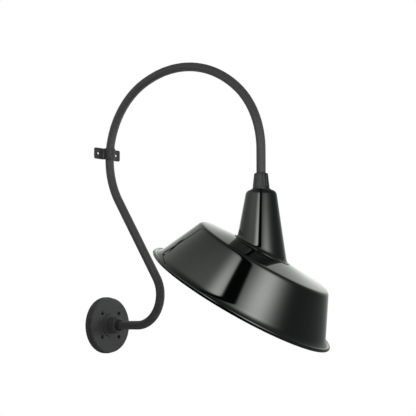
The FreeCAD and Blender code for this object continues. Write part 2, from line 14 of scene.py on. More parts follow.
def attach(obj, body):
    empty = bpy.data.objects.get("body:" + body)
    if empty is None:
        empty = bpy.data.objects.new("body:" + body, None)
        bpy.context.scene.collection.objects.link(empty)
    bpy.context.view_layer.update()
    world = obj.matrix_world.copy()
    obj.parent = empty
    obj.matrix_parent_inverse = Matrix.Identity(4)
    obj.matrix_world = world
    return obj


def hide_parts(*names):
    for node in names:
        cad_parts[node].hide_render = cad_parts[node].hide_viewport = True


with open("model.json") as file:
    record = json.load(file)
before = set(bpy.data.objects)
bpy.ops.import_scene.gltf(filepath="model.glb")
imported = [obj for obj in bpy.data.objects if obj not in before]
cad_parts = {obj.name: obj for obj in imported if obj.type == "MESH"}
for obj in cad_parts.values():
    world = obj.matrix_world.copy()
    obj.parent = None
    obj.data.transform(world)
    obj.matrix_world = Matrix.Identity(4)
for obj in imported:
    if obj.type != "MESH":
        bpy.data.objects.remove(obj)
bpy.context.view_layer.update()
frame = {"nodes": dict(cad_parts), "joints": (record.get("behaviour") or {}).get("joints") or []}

# ---------------------------------------------------------------------------------------------
# Wall flange: a hollow round aluminium casting, powder coated black. Four screws through its
# recessed holes hold it to the wall, and the hub in its middle takes the arm's tube.
flange_r = 69.85
flange_body_r = 67.85
flange_face = 18.5
flange_inside = 14.5
hub_nose = 47.0
screw_circle_r = 41.25
screw_hole_r = 2.8
recess_r = 4.8
recess_floor = 14.5
screw_boss_r = 6.0
hole_block = 8.0
tube_hole_r = 10.7
lead_hole_r = 8.35
hub_step = 21.5
hub_base_r = 20.75
hub_narrowing = 1.5
hub_screw_n = 34.25
set_screw_hole_r = 2.55
flange_columns = 128
cast_black = (0.032, 0.032, 0.033)


def rounded(corners, spacing, closed=True):
    """Points along an outline of (a, b, rounding) corners.

    An arc of each rounding touches both sides of its corner: its centre lies on the corner's bisector,
    rounding / sin(half the angle) away. Lines and arcs are split into steps no longer than spacing.
    """
    spots = np.array([corner[:2] for corner in corners], float)
    stops = []
    for i, (_, _, rounding) in enumerate(corners):
        here = spots[i]
        if not rounding:
            stops.append(here[None])
            continue
        before = spots[i - 1] - here
        after = spots[(i + 1) % len(spots)] - here
        before /= np.hypot(*before)
        after /= np.hypot(*after)
        half = math.acos(before @ after) / 2
        bisector = (before + after) / np.hypot(*(before + after))
        centre = here + bisector * rounding / math.sin(half)
        start, end = (here + side * rounding / math.tan(half) - centre for side in (before, after))
        first = math.atan2(start[1], start[0])
        sweep = (math.atan2(end[1], end[0]) - first + math.pi) % (2 * math.pi) - math.pi
        steps = max(5, math.ceil(abs(sweep) * rounding / spacing))
        turn = first + sweep * np.linspace(0, 1, steps + 1)
        stops.append(centre + rounding * np.stack([np.cos(turn), np.sin(turn)], -1))
    followers = stops[1:] + stops[:1] if closed else stops[1:]
    path = []
    for here, following in zip(stops, followers):
        gap = following[0] - here[-1]
        steps = max(1, math.ceil(np.hypot(*gap) / spacing))
        path += [here, here[-1] + gap * (np.arange(1, steps)[:, None] / steps)]
    return np.vstack(path if closed else path + [stops[-1]])


def turned(outline, columns):
    """Grid of points: each (radius, height) of the outline turned round the Z axis in equal steps."""
    turn = 2 * math.pi * np.arange(columns) / columns
    radius, height = outline[:, :1], outline[:, 1:]
    return np.stack([radius * np.cos(turn), radius * np.sin(turn), height + 0 * turn], -1)


def off_wall(grid):
    """The grid laid with its Z axis along the row's -Y, so that heights run out from the wall."""
    return np.stack([grid[..., 0], -grid[..., 2], grid[..., 1]], -1)


def sheet(grid, rows_close=False, columns_close=True, leave=None):
    """Points and quads of a grid: cell (k, j) joins rows k and k + 1 with columns j and j + 1."""
    index = np.arange(grid.shape[0] * grid.shape[1]).reshape(grid.shape[:2])
    if rows_close:
        index = np.vstack([index, index[:1]])
    if columns_close:
        index = np.hstack([index, index[:, :1]])
    quads = np.stack([index[:-1, :-1], index[1:, :-1], index[1:, 1:], index[:-1, 1:]], -1)
    if leave is not None:
        quads = quads[~leave[:quads.shape[0], :quads.shape[1]]]
    return grid.reshape(-1, 3), quads.reshape(-1, 4)


def piece(name, sheets, finishes, marks=None, crease=35):
    """One closed mesh from sheets in millimetres, welded where points meet, its faces outwards.

    marks gives each quad its finish by number, and edges sharper than crease degrees stay sharp.
    """
    starts = np.cumsum([0] + [len(points) for points, _ in sheets])
    points = np.vstack([points for points, _ in sheets]) * 0.001
    quads = np.vstack([quads + start for (_, quads), start in zip(sheets, starts)])
    mesh = bpy.data.meshes.new(name)
    mesh.from_pydata(points.tolist(), [], quads.tolist())
    for finish in finishes:
        mesh.materials.append(finish)
    if marks is not None:
        mesh.polygons.foreach_set("material_index", marks.astype(np.int32))
    shape = bmesh.new()
    shape.from_mesh(mesh)
    bmesh.ops.remove_doubles(shape, verts=shape.verts, dist=1e-6)
    bmesh.ops.recalc_face_normals(shape, faces=shape.faces)
    shape.to_mesh(mesh)
    shape.free()
    mesh.shade_smooth()
    mesh.set_sharp_from_angle(angle=math.radians(crease))
    made = bpy.data.objects.new(name, mesh)
    bpy.context.collection.objects.link(made)
    return made


def wired(material, colour, roughness, metallic=0.0, ior=1.5):
    """A new material with its plain values set, and its Principled shader."""
    made = bpy.data.materials.new(material)
    made.use_nodes = True
    shader = made.node_tree.nodes["Principled BSDF"]
    shader.inputs["Base Color"].default_value = (*colour, 1)
    shader.inputs["Roughness"].default_value = roughness
    shader.inputs["Metallic"].default_value = metallic
    shader.inputs["IOR"].default_value = ior
    made.diffuse_color = (*colour, 1)
    return made, shader


def grain_group():
    """Node group for a baked coat or a moulded skin: fine grain in its colour, gloss and height.

    One noise at the grain's size and one sixteen times coarser, each from 0 to 1, are added. Colour and
    roughness go up and down by their share around the middle, and the fine noise is the height.
    """
    group = bpy.data.node_groups.new("coat grain", "ShaderNodeTree")
    sockets = [("Colour", "INPUT", "NodeSocketColor"), ("Mottle", "INPUT", "NodeSocketFloat"),
               ("Roughness", "INPUT", "NodeSocketFloat"), ("Patchiness", "INPUT", "NodeSocketFloat"),
               ("Grains per metre", "INPUT", "NodeSocketFloat"), ("Depth", "INPUT", "NodeSocketFloat"),
               ("Colour", "OUTPUT", "NodeSocketColor"), ("Roughness", "OUTPUT", "NodeSocketFloat"),
               ("Normal", "OUTPUT", "NodeSocketVector")]
    for name, way, kind in sockets:
        group.interface.new_socket(name, in_out=way, socket_type=kind)
    nodes, links = group.nodes, group.links
    given, out = nodes.new("NodeGroupInput"), nodes.new("NodeGroupOutput")
    place = nodes.new("ShaderNodeTexCoord")
    fine, coarse = nodes.new("ShaderNodeTexNoise"), nodes.new("ShaderNodeTexNoise")

    def sum_of(kind, first, second):
        """Math node of that kind on two sockets or numbers."""
        made = nodes.new("ShaderNodeMath")
        made.operation = kind
        for slot, value in zip(made.inputs, (first, second)):
            if isinstance(value, (int, float)):
                slot.default_value = value
            else:
                links.new(value, slot)
        return made.outputs[0]

    links.new(place.outputs["Object"], fine.inputs["Vector"])
    links.new(place.outputs["Object"], coarse.inputs["Vector"])
    links.new(given.outputs["Grains per metre"], fine.inputs["Scale"])
    links.new(sum_of("DIVIDE", given.outputs["Grains per metre"], 16), coarse.inputs["Scale"])
    fine.inputs["Detail"].default_value = 2
    coarse.inputs["Detail"].default_value = 3
    both = sum_of("SUBTRACT", sum_of("ADD", fine.outputs["Fac"], coarse.outputs["Fac"]), 1)
    factor = sum_of("ADD", 1, sum_of("MULTIPLY", both, given.outputs["Mottle"]))
    shade = nodes.new("ShaderNodeVectorMath")
    shade.operation = "SCALE"
    links.new(given.outputs["Colour"], shade.inputs[0])
    links.new(factor, shade.inputs["Scale"])
    links.new(shade.outputs["Vector"], out.inputs["Colour"])
    rough = sum_of("ADD", given.outputs["Roughness"], sum_of("MULTIPLY", both, given.outputs["Patchiness"]))
    links.new(rough, out.inputs["Roughness"])
    bump = nodes.new("ShaderNodeBump")
    links.new(fine.outputs["Fac"], bump.inputs["Height"])
    links.new(given.outputs["Depth"], bump.inputs["Distance"])
    links.new(bump.outputs["Normal"], out.inputs["Normal"])
    return group


coat_grain = grain_group()


def coated(name, colour, roughness, mottle, patchiness, grains, depth, ior=1.5):
    """Material with the coat grain: grains per metre, their depth in metres."""
    made, shader = wired(name, colour, roughness, ior=ior)
    grain = made.node_tree.nodes.new("ShaderNodeGroup")
    grain.node_tree = coat_grain
    for socket, value in (("Mottle", mottle), ("Roughness", roughness), ("Patchiness", patchiness),
                          ("Grains per metre", grains), ("Depth", depth)):
        grain.inputs[socket].default_value = value
    grain.inputs["Colour"].default_value = (*colour, 1)
    for socket in ("Roughness", "Normal"):
        made.node_tree.links.new(grain.outputs[socket], shader.inputs[socket])
    made.node_tree.links.new(grain.outputs["Colour"], shader.inputs["Base Color"])
    return made


def rings_round(rim, centre, across, up, out, rings):
    """Grid from a block's rim through circles of (radius, height), at the rim points' own angles."""
    arm = rim - centre
    turn = np.arctan2(arm @ up, arm @ across)[:, None]
    spokes = np.cos(turn) * across + np.sin(turn) * up
    return [centre + radius * spokes + height * out for radius, height in rings]


def block_rim(grid, row, column, rows, columns):
    """Points round the edge of a block of cells, in order."""
    return np.vstack([grid[row, column:column + columns], grid[row:row + rows, column + columns],
                      grid[row + rows, column + columns:column:-1], grid[row + rows:row:-1, column]])


def hub_side_r(height):
    """Radius of the hub's tapered side at a distance from the wall."""
    return hub_base_r - hub_narrowing * (height - hub_step) / (hub_nose - hub_step)


block_outer_r, block_inner_r = screw_circle_r + hole_block, screw_circle_r - hole_block
hole_rows = [(r, flange_face, 0) for r in np.linspace(block_outer_r, block_inner_r, 9)]
ceiling_rows = [(r, flange_inside, 0) for r in np.linspace(block_inner_r, block_outer_r, 9)]
hub_rows = [(hub_side_r(n), n, 0) for n in np.linspace(hub_screw_n - 6, hub_screw_n + 6, 13)]
tube_stop = flange_inside + 1.5
flange_outline = rounded(
    [(tube_hole_r, tube_stop, 0), (tube_hole_r, hub_nose, 0.4), (hub_base_r - hub_narrowing, hub_nose, 2.5)]
    + hub_rows[::-1] + [(hub_base_r, hub_step, 1.5), (28.5, hub_step, 1.0), (28.5, flange_face, 0.8)]
    + hole_rows[::-1]
    + [(flange_body_r, flange_face, 2.5), (flange_body_r, 8.0, 0), (flange_r, 8.0, 1.0), (flange_r, 2.0, 0),
       (63.85, 2.0, 0), (63.85, flange_inside, 0)]
    + ceiling_rows[::-1] + [(lead_hole_r, flange_inside, 0), (lead_hole_r, tube_stop, 0)], 3.0)
flange_grid = off_wall(turned(flange_outline, flange_columns))
leave = np.zeros((len(flange_outline), flange_columns), bool)


def rows_at(radius, height):
    """First row of the outline at that radius and distance from the wall."""
    return int(np.argmin(np.hypot(flange_outline[:, 0] - radius, flange_outline[:, 1] - height)))


flange_sheets = []
sideways, upwards, outwards = np.eye(3)[0], np.eye(3)[2], -np.eye(3)[1]
for middle in (16, 48, 80, 112):
    turn = 2 * math.pi * middle / flange_columns
    spot = screw_circle_r * (math.cos(turn) * sideways + math.sin(turn) * upwards)
    face_row, ceiling_row = rows_at(block_inner_r, flange_face), rows_at(block_outer_r, flange_inside)
    leave[face_row:face_row + 8, middle - 4:middle + 4] = True
    leave[ceiling_row:ceiling_row + 8, middle - 4:middle + 4] = True
    rim = block_rim(flange_grid, face_row, middle - 4, 8, 8)
    back_rim = rim + outwards * (flange_inside - flange_face)
    circles = rings_round(rim, spot, sideways, upwards, outwards,
                          [(recess_r + 0.5, flange_face), (recess_r + 0.1, flange_face - 0.15),
                           (recess_r, flange_face - 0.5), (recess_r, recess_floor), (screw_hole_r, recess_floor),
                           (screw_hole_r, 2.0), (screw_boss_r, 2.0), (screw_boss_r, flange_inside)])
    flange_sheets.append(sheet(np.stack([rim] + circles + [back_rim])))
hub_row = min(rows_at(hub_rows[0][0], hub_screw_n + reach) for reach in (6, -6))
leave[hub_row:hub_row + 12, 90:102] = True
hub_rim = block_rim(flange_grid, hub_row, 90, 12, 12)
hub_middle = np.array([0, -hub_screw_n, 0])
hub_circle = rings_round(hub_rim, hub_middle, sideways, outwards, upwards, [(set_screw_hole_r, 0)])[0]
hub_surface_r = hub_side_r(-hub_circle[:, 1])
hub_circle[:, 2] = -np.sqrt(hub_surface_r ** 2 - hub_circle[:, 0] ** 2)
hub_pocket_floor = 12
hub_floor = hub_circle * [1, 1, 0] - [0, 0, hub_pocket_floor]
hub_pole = 0 * hub_floor + [0, -hub_screw_n, -hub_pocket_floor]
flange_sheets.append(sheet(np.stack([hub_rim, hub_circle, hub_floor, hub_pole])))
flange_sheets.append(sheet(flange_grid, rows_close=True, leave=leave))
cast_coat = coated("cast black powder coat", cast_black, 0.62, 0.2, 0.06, 900, 0.00005)
flange = piece("flange_dressed", flange_sheets, [cast_coat])
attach(flange, "arm")
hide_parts("wall_flange")

# ---------------------------------------------------------------------------------------------
# Rubber at the wall: a flat gasket punched from black sheet lies behind the flange's rim, and a
# moulded ring closes the joint where the tube enters the hub.
rubber = coated("black rubber", (0.012, 0.012, 0.012), 0.7, 0.4, 0.1, 1500, 0.00005)


def dress(node, finish):
    """Gives a CAD node that stays its finish."""
    for held in frame["nodes"][node].material_slots:
        held.material = finish


dress("wall_gasket", rubber)
seal_r = 14.5
seal_nose = hub_nose + 6.5
seal_outline = rounded([(tube_hole_r, hub_nose, 0), (seal_r, hub_nose, 0.4), (seal_r, seal_nose, 2.0),
                        (tube_hole_r, seal_nose, 0.3)], 1.0)
seal = piece("hub_seal_dressed", [sheet(off_wall(turned(seal_outline, 64)), rows_close=True)], [rubber])
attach(seal, "arm")
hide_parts("hub_seal")

# ---------------------------------------------------------------------------------------------
# Set screws: headless steel screws with a black oxide skin. One under the hub and one on the wall
# side of the cap are tightened on the tube with a hexagon key.
oxide, _ = wired("black oxide", (0.02, 0.02, 0.022), 0.4, 0.6)
dress("hub_set_screw", oxide)
dress("cap_set_screw", oxide)

# ---------------------------------------------------------------------------------------------
# Arm: one half-inch steel tube, cold bent in one plane into the loop and powder coated black. Its
# wall end is held in the hub and its low end in the cap.
tube_r = 10.65
tube_bore_r = 8.35
tube_start = 16.0
bend_start = 111.0710255
tube_columns = 56
stretches = [(bend_start - tube_start, 0.0), (73.5, 123.5), (234.0, 0.0), (196.0, -98.0), (275.5, -68.0),
             (202.0, -47.5), (78.0, 0.0)]


def bent_line(stretches, start, step_turn=2.0, step_run=12.0):
    """Points and headings of a line of runs and bends, each (length or radius, turn in degrees).

    On a bend the point is the centre plus the radius along the spoke, whose angle goes from the heading
    a quarter turn back by equal steps; on a run it moves along the heading.
    """
    spot, heading, places, headings = np.array([start, 0.0]), 0.0, [], []
    for size, turn in stretches:
        if turn:
            steps = math.ceil(abs(turn) / step_turn)
            swung = np.radians(turn) * np.linspace(0, 1, steps + 1)
            spoke = heading - math.copysign(math.pi / 2, turn)
            centre = spot - size * np.array([math.cos(spoke), math.sin(spoke)])
            line = centre + size * np.stack([np.cos(spoke + swung), np.sin(spoke + swung)], -1)
        else:
            steps = math.ceil(size / step_run)
            swung = np.zeros(steps + 1)
            run = size * np.linspace(0, 1, steps + 1)[:, None]
            line = spot + run * np.array([math.cos(heading), math.sin(heading)])
        places.append(line[1:] if places else line)
        headings.append(heading + (swung[1:] if len(places) > 1 else swung))
        spot, heading = line[-1], heading + swung[-1]
    return np.vstack(places), np.concatenate(headings)


def round_bar(places, headings, radius, columns):
    """Grid of circles square to the line: place + radius (cos a * side in the plane + sin a * X)."""
    turn = 2 * math.pi * np.arange(columns) / columns
    side = np.stack([0 * headings, np.sin(headings), np.cos(headings)], -1)[:, None]
    middle = np.stack([0 * headings, -places[:, 0], places[:, 1]], -1)[:, None]
    return middle + radius * (np.cos(turn)[None, :, None] * side + np.sin(turn)[None, :, None] * np.eye(3)[0])


arm_places, arm_headings = bent_line(stretches, tube_start)
arm_outside = round_bar(arm_places, arm_headings, tube_r, tube_columns)
arm_inside = round_bar(arm_places, arm_headings, tube_bore_r, tube_columns)
tube_coat = coated("tube black powder coat", (0.038, 0.038, 0.038), 0.6, 0.12, 0.04, 1100, 0.00003)
tube = piece("tube_dressed", [sheet(np.vstack([arm_outside, arm_inside[::-1]]), rows_close=True)], [tube_coat])
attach(tube, "arm")
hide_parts("arm_tube")

# ---------------------------------------------------------------------------------------------
# Pipe strap: 3 mm steel strip pressed over the back of the loop, its two ears flat on the wall with
# a punched hole each, powder coated with the arm.
strap_thick = 3.0
strap_half_length = 45.0
strap_half_height = 14.0
strap_z = 429.8763
strap_corner = 4.5
strap_saddle_r = 13.7
strap_saddle_n = 11.0485
strap_hole_x = 32.0
strap_hole_r = 3.25
strap_block = 5.0
strap_columns = 20


def strap_half():
    """Outer face of one half of the strap's section, from the ear's end to the saddle's top."""
    ear = [(strap_half_length - d, strap_thick, 0) for d in (0, 0.25, 0.9, 2.0, strap_corner)]
    holes = [(x, strap_thick, 0) for x in np.linspace(strap_hole_x + strap_block, strap_hole_x - strap_block, 9)]
    saddle = [(strap_saddle_r, strap_thick, 3.5), (strap_saddle_r, strap_saddle_n, 0)]
    flat = rounded(ear + holes + saddle, 2.0, False)
    turn = np.radians(np.linspace(0, 90, 25)[1:])[:, None]
    arc = np.hstack([strap_saddle_r * np.cos(turn), strap_saddle_n + strap_saddle_r * np.sin(turn)])
    return np.vstack([flat, arc])


def strap_layers():
    """Outer and inner grids of the strap: its section carried up the wall, the ears' corners rounded.

    The inner face is the outer one moved in by the sheet's thickness along the section's normal. Within
    a corner's rounding c of the end, the half height is less by c - sqrt(c^2 - (c - distance)^2).
    """
    half = strap_half()
    section = np.vstack([half, (half * [-1, 1])[-2::-1]])
    along = np.gradient(section, axis=0)
    along[0], along[-1] = (-1, 0), (-1, 0)
    along /= np.hypot(along[:, 0], along[:, 1])[:, None]
    inner = section + strap_thick * np.stack([-along[:, 1], along[:, 0]], -1)
    near = np.clip(strap_corner - (strap_half_length - np.abs(section[:, 0])), 0, strap_corner)
    height = strap_half_height - strap_corner + np.sqrt(strap_corner ** 2 - near ** 2)
    rise = strap_z + height[:, None] * np.linspace(-1, 1, strap_columns + 1)
    grids = []
    for face in (section, inner):
        grids.append(np.stack([face[:, :1] + 0 * rise, -face[:, 1:] + 0 * rise, rise], -1))
    return section, grids


strap_section, (strap_outer, strap_inner) = strap_layers()
strap_leave = np.zeros((len(strap_section), strap_columns), bool)
strap_sheets = []
for side in (1, -1):
    near_hole = np.flatnonzero((np.abs(strap_section[:, 0] - side * strap_hole_x) < strap_block + 0.01)
                               & (strap_section[:, 1] < strap_thick + 0.01))
    row = near_hole[0]
    strap_leave[row:row + 8, 6:14] = True
    rim = block_rim(strap_outer, row, 6, 8, 8)
    spot = np.array([side * strap_hole_x, 0, strap_z])
    circles = rings_round(rim, spot, sideways, upwards, outwards,
                          [(strap_hole_r + 0.4, strap_thick), (strap_hole_r, strap_thick - 0.4), (strap_hole_r, 0)])
    strap_sheets.append(sheet(np.stack([rim] + circles + [rim * [1, 0, 1]])))
for grid in (strap_outer, strap_inner):
    strap_sheets.append(sheet(grid, columns_close=False, leave=strap_leave))
for first, second in ((strap_outer[0], strap_inner[0]), (strap_outer[-1], strap_inner[-1]),
                      (strap_outer[:, 0], strap_inner[:, 0]), (strap_outer[:, -1], strap_inner[:, -1])):
    strap_sheets.append(sheet(np.stack([first, second]), columns_close=False))
strap_coat = coated("strap black powder coat", (0.024, 0.024, 0.024), 0.55, 0.15, 0.05, 1100, 0.00003)
strap = piece("strap_dressed", strap_sheets, [strap_coat])
edge = strap.modifiers.new("pressed edge", "BEVEL")
edge.width = 0.0006
edge.segments = 2
edge.limit_method = "ANGLE"
edge.angle_limit = math.radians(50)
edge.harden_normals = False
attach(strap, "arm")
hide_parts("wall_strap")

# ---------------------------------------------------------------------------------------------
# Cap on the arm's low end: a tapered die casting with sixteen round flutes that stop above a plain
# foot, painted satin black. It is bored for the tube above and for the nipple below.
stem_n = -frame["joints"][0]["pos_m"][1] * 1000
neck_top = frame["joints"][0]["pos_m"][2] * 1000
cap_bottom = neck_top + 2.0
cap_height = 36.5
cap_top = cap_bottom + cap_height
tube_end = cap_top - 23.0
cap_foot_r = 19.75
cap_top_r = 15.75
cap_taper = (cap_foot_r - cap_top_r) / cap_height
flute_count = 16
flute_r = 2.5
flute_bite = 1.3
cap_plain_foot = 3.5
flute_start = cap_bottom + cap_plain_foot + flute_r
flute_softness = 5.0
cap_screw_z = tube_end + 11.5
cap_columns = 384


def fluted(radius, height, turn):
    """Radius of the cap's side with its flutes taken out.

    A flute is a round groove whose axis leans with the side and whose low end is a ball: across it the
    radius is a cos d - sqrt(b^2 - a^2 sin^2 d), with d the angle from the groove's middle, a the axis'
    radius there and b the groove's own. The smaller of side and groove is taken, blended softly.
    """
    pitch = 2 * math.pi / flute_count
    away = (turn + math.pi) % pitch - pitch / 2
    low_axis = cap_foot_r - cap_plain_foot * cap_taper + flute_r - flute_bite
    axis = low_axis - np.clip(height - flute_start, 0, None) * cap_taper
    below = np.clip(flute_start - height, 0, None)
    groove = np.sqrt(np.clip(flute_r ** 2 - below ** 2, 0, None))
    room = groove ** 2 - (axis * np.sin(away)) ** 2
    cut = np.where(room > 0, axis * np.cos(away) - np.sqrt(np.clip(room, 0, None)), radius + 10)
    return -np.logaddexp(-flute_softness * radius, -flute_softness * cut) / flute_softness


cap_outline = rounded([(tube_hole_r, tube_end, 0), (tube_hole_r, cap_top, 0.4), (cap_top_r, cap_top, 3.0),
                       (cap_foot_r, cap_bottom, 0.8), (lead_hole_r, cap_bottom, 0), (lead_hole_r, tube_end, 0)], 0.5)
cap_grid = turned(cap_outline, cap_columns)
cap_turn = np.arctan2(cap_grid[..., 1], cap_grid[..., 0])
cap_radius = np.hypot(cap_grid[..., 0], cap_grid[..., 1])
on_side = (cap_outline[:, 0] > 12) & (cap_outline[:, 1] > cap_bottom + 1.0)
cut_radius = np.where(on_side[:, None], fluted(cap_radius, cap_grid[..., 2], cap_turn), cap_radius)
from_screw = np.hypot(cap_grid[..., 0], cap_grid[..., 2] - cap_screw_z)
screw_hole = (from_screw < set_screw_hole_r) & (cap_grid[..., 1] > 0)
cap_pocket_floor = 11.5
cut_radius = np.where(screw_hole & on_side[:, None], cap_pocket_floor, cut_radius)
cap_grid[..., :2] *= (cut_radius / cap_radius)[..., None]
cap_grid[..., 1] -= stem_n
cap_coat = coated("cap satin black", (0.004, 0.004, 0.005), 0.36, 0.3, 0.08, 700, 0.00003)
cap = piece("cap_dressed", [sheet(cap_grid, rows_close=True)], [cap_coat], crease=60)
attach(cap, "arm")
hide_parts("stem_cap")

# ---------------------------------------------------------------------------------------------
# Swivel: a hollow threaded nipple hangs from the cap. The shade's neck turns between a rubber gasket
# above it and a nylon and a steel washer below it, which the upper nut clamps.
zinc, _ = wired("zinc plate", (0.62, 0.63, 0.64), 0.3, 1.0)
nylon, _ = wired("natural nylon", (0.8, 0.79, 0.74), 0.45)
gasket_r = 23.0
gasket_hole_r = 8.4
gasket_outline = rounded([(gasket_hole_r, neck_top, 0), (gasket_r, neck_top, 0.6), (gasket_r, cap_bottom, 0.6),
                          (gasket_hole_r, cap_bottom, 0)], 1.5)
gasket_grid = turned(gasket_outline, 96)
gasket_grid[..., 1] -= stem_n
gasket = piece("swivel_gasket_dressed", [sheet(gasket_grid, rows_close=True)], [rubber])
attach(gasket, "arm")
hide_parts("swivel_gasket")
for node in ("stem_nipple", "clamp_washer", "lock_nuts", "socket_bracket", "bracket_screws"):
    dress(node, zinc)
dress("friction_washer", nylon)

# ---------------------------------------------------------------------------------------------
# Shade's neck: a spun steel cone with a rounded, closed top, sprayed gloss black. Its lower edge is
# cut to the bowl's slope and flares out into a thin foot that is welded on the bowl's top.
neck_top_r = 34.25
neck_side = math.radians(9.6)
neck_slope = math.tan(neck_side)
neck_widening = 1 / math.cos(neck_side)
neck_lean = math.tan(math.radians(1.6))
neck_length = 128.0
neck_round = 13.0
neck_crown = 14.0
neck_wall = 1.6
neck_foot_width = 6.0
neck_foot_thick = 1.2
neck_fillet = 8.0
neck_fillet_end = 5.0
neck_hole_r = 8.36
bowl_tilt = math.radians(31)
shade_turn = math.radians(19)
shoulder_r = 165.0
shoulder_height = 114.0
top_slope = math.tan(math.radians(6.6))
apex_height = shoulder_height + shoulder_r * top_slope
neck_offset = 20.0
shade_columns = 360
around = 2 * math.pi * np.arange(shade_columns) / shade_columns
tilt = np.array([[1, 0, 0], [0, math.cos(bowl_tilt), -math.sin(bowl_tilt)],
                 [0, math.sin(bowl_tilt), math.cos(bowl_tilt)]])
neck_stand = np.array([0, neck_offset, apex_height - neck_offset * top_slope])
bowl_base = np.array([0, -stem_n, neck_top - neck_length]) - tilt @ neck_stand


def neck_points(depth, inset):
    """Points on the neck's cone at each angle and depth below its top, moved in by inset.

    The radius grows with depth by the slope, and below the crown the middle leans back to the wall.
    """
    radius = neck_top_r + depth * neck_slope - inset * neck_widening
    shift = np.clip(depth - neck_crown, 0, None) * neck_lean
    return np.stack([radius * np.cos(around), radius * np.sin(around) - stem_n + shift,
                     neck_top - depth + 0 * around], -1)


def above_bowl(points, lift):
    """How far points lie above the bowl's conical top raised by lift."""
    local = (points - bowl_base) @ tilt
    return local[..., 2] + np.hypot(local[..., 0], local[..., 1]) * top_slope - apex_height - lift


def halved(low, high, inside):
    """Vectorised halving: the values between low and high where inside() stops being true."""
    for _ in range(40):
        middle = (low + high) / 2
        yes = inside(middle)
        low, high = np.where(yes, middle, low), np.where(yes, high, middle)
    return (low + high) / 2


def depth_on_bowl(inset, lift):
    """Depth at each angle where the neck's surface, moved in by inset, meets the raised top."""
    return halved(0 * around, 0 * around + 220, lambda depth: above_bowl(neck_points(depth, inset), lift) > 0)


def to_rest(grid):
    """The shade's points turned about the swivel from square to the wall to where it rests."""
    c, s = math.cos(shade_turn), math.sin(shade_turn)
    arm = grid + [0, stem_n, 0]
    return np.stack([c * arm[..., 0] - s * arm[..., 1], s * arm[..., 0] + c * arm[..., 1] - stem_n,
                     grid[..., 2]], -1)


def crown(inset):
    """Rows from the hole's edge over the rounded top to the cone's start, moved in by inset."""
    radius = neck_top_r - inset * neck_widening
    outline = rounded([(neck_hole_r, inset, 0), (radius + inset * neck_slope, inset, neck_round - inset),
                       (radius + neck_crown * neck_slope, neck_crown, 0)], 1.6, False)
    rows = turned(outline, shade_columns)
    rows[..., 2] = neck_top - rows[..., 2]
    rows[..., 1] -= stem_n
    return rows


def neck_rows(inset, end, count):
    """Rows down the cone from the crown to the depth end at each angle."""
    shares = np.linspace(0, 1, count + 1)[1:]
    return np.stack([neck_points(neck_crown + share * (end - neck_crown), inset) for share in shares])


meeting = depth_on_bowl(0, neck_foot_thick)
fillet_start = neck_points(meeting - neck_fillet, 0)
fillet_corner = neck_points(meeting, 0)
fillet_end = neck_points(depth_on_bowl(-neck_fillet_end, neck_foot_thick), -neck_fillet_end)
share = np.linspace(0, 1, 11)[1:, None, None]
flare = (1 - share) ** 2 * fillet_start + 2 * share * (1 - share) * fillet_corner + share ** 2 * fillet_end
foot_edge = [neck_points(depth_on_bowl(-(neck_foot_width - back), lift), -(neck_foot_width - back))
             for back, lift in ((0.4, neck_foot_thick - 0.12), (0.1, neck_foot_thick - 0.4), (0, 0.4), (0.1, 0))]
inner_end = depth_on_bowl(neck_wall, 0)
neck_grid = np.vstack([crown(0), neck_rows(0, meeting - neck_fillet, 30), flare, foot_edge,
                       neck_rows(neck_wall, inner_end, 12)[::-1], crown(neck_wall)[::-1]])
gloss_black = (0.0008, 0.002, 0.0013)
gloss = coated("gloss black enamel", gloss_black, 0.045, 0.12, 0.03, 40, 0.000003)
neck = piece("neck_dressed", [sheet(to_rest(neck_grid), rows_close=True)], [gloss])
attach(neck, "shade")
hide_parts("shade_neck")

# ---------------------------------------------------------------------------------------------
# Shade's bowl: spun from steel sheet, with a shallow conical top, a round shoulder, a straight
# tapered wall, a flared lip and a rolled bead. Gloss black outside, baked white enamel inside.
bowl_sheet = 1.3
bead_r = 4.5
bead_middle = np.array([224.0, 4.5])
flare_corner = (213.0, 13.0)
shoulder_start_r = 158.0
top_row_count = 14


def bowl_line():
    """Outer (radius, height) line of the bowl from its middle to the bead, and the same line moved in.

    The inner one is the outer one moved by the sheet's thickness along its normal, down and inwards.
    """
    line = rounded([(0, apex_height, 0), (shoulder_r, shoulder_height, 11.0), (*flare_corner, 28.0),
                    (*bead_middle, 0)], 4.0, False)
    along = np.gradient(line, axis=0)
    along /= np.hypot(along[:, 0], along[:, 1])[:, None]
    inner = line + bowl_sheet * np.stack([along[:, 1], -along[:, 0]], -1)
    clear = np.hypot(*(line - bead_middle).T) > bead_r * 1.02
    clear_inner = np.hypot(*(inner - bead_middle).T) > bead_r * 1.02
    return line[clear], inner[clear_inner]


def opening_r(height_at):
    """Radius at each angle where the bowl's top reaches the inside of the neck, by halving."""
    def inside(radius):
        local = np.stack([radius * np.cos(around), radius * np.sin(around), height_at(radius)], -1)
        row = local @ tilt.T + bowl_base
        depth = neck_top - row[..., 2]
        shift = (depth - neck_crown) * neck_lean
        reach = neck_top_r + depth * neck_slope - neck_wall * neck_widening
        return np.hypot(row[..., 0], row[..., 1] + stem_n - shift) < reach

    return halved(0 * around, 0 * around + 150, inside)


def top_rows(start, edge, height_at, count):
    """Rows over the conical top from the neck's opening to the radius of the shoulder's start."""
    shares = np.linspace(0, 1, count + 1)[:-1, None]
    radius = start + shares * (edge - start)
    return np.stack([radius * np.cos(around), radius * np.sin(around), height_at(radius)], -1)


bowl_outer, bowl_inner = bowl_line()
bowl_outer = bowl_outer[bowl_outer[:, 0] > shoulder_start_r]
bowl_inner = bowl_inner[bowl_inner[:, 0] > shoulder_start_r - 1.5]


def outer_top(radius):
    """Height of the conical top's outer face."""
    return apex_height - radius * top_slope


def inner_top(radius):
    """Height of its inner face, the sheet's thickness below."""
    return apex_height - bowl_sheet * math.sqrt(1 + top_slope ** 2) - radius * top_slope


